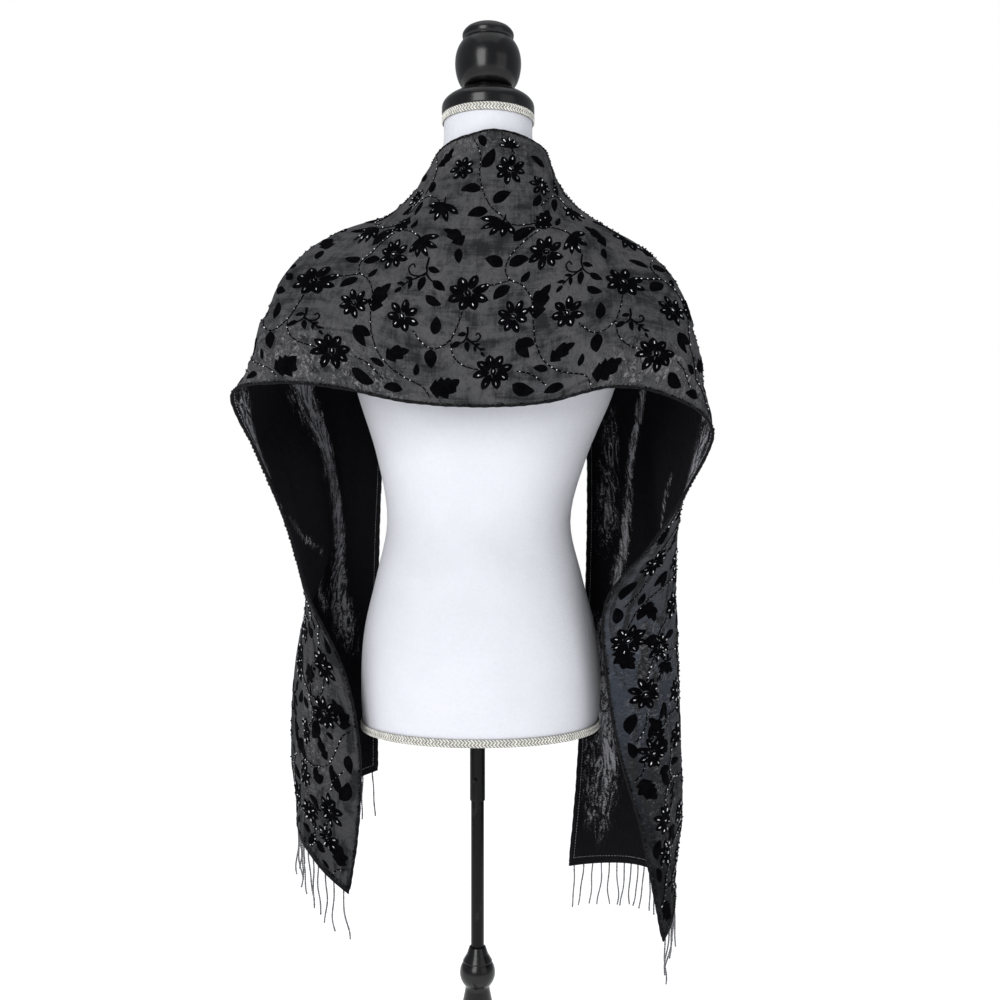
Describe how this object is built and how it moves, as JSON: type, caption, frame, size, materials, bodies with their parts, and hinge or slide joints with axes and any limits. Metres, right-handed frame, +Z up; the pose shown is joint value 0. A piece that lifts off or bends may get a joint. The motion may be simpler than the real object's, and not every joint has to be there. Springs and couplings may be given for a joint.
{
  "type": "velvet shawl on a dress form stand",
  "caption": "Beaded velvet shawl with fringed ends, draped round the shoulders of a limbless dress form on a turned pole stand with sawn legs.",
  "frame": {"origin": "on the floor under the middle of the pole and of the bounding box", "axes": "+Z up along the pole, +Y toward the form's chest, the shawl's middle across the form's back on the -Y side"},
  "size_m": [0.5251, 0.4668, 1.4112],
  "materials": {
    "shawl_devore": "burnt-out velvet, charcoal gauze ground with black pile flowers",
    "shawl_velvet": "crushed velvet, black with a grey sheen",
    "shawl_fringe": "beaded strands",
    "form_jersey": "stretched white jersey",
    "form_braid": "woven braid",
    "stand_wood": "gloss black lacquer",
    "stand_metal": "satin black"
  },
  "bodies": {
    "root": {"shawl_face_back": "shawl_devore", "shawl_face_left": "shawl_devore", "shawl_face_right": "shawl_devore", "shawl_lining_back": "shawl_velvet", "shawl_lining_left": "shawl_velvet", "shawl_lining_right": "shawl_velvet", "fringe_left": "shawl_fringe", "fringe_right": "shawl_fringe", "form_torso": "form_jersey", "neck_braid": "form_braid", "hem_braid": "form_braid", "neck_cap": "stand_wood", "finial": "stand_wood", "pole_socket": "stand_metal", "pole": "stand_metal", "stand_column": "stand_wood", "leg_1": "stand_wood", "leg_2": "stand_wood", "leg_3": "stand_wood"}
  },
  "joints": []
}
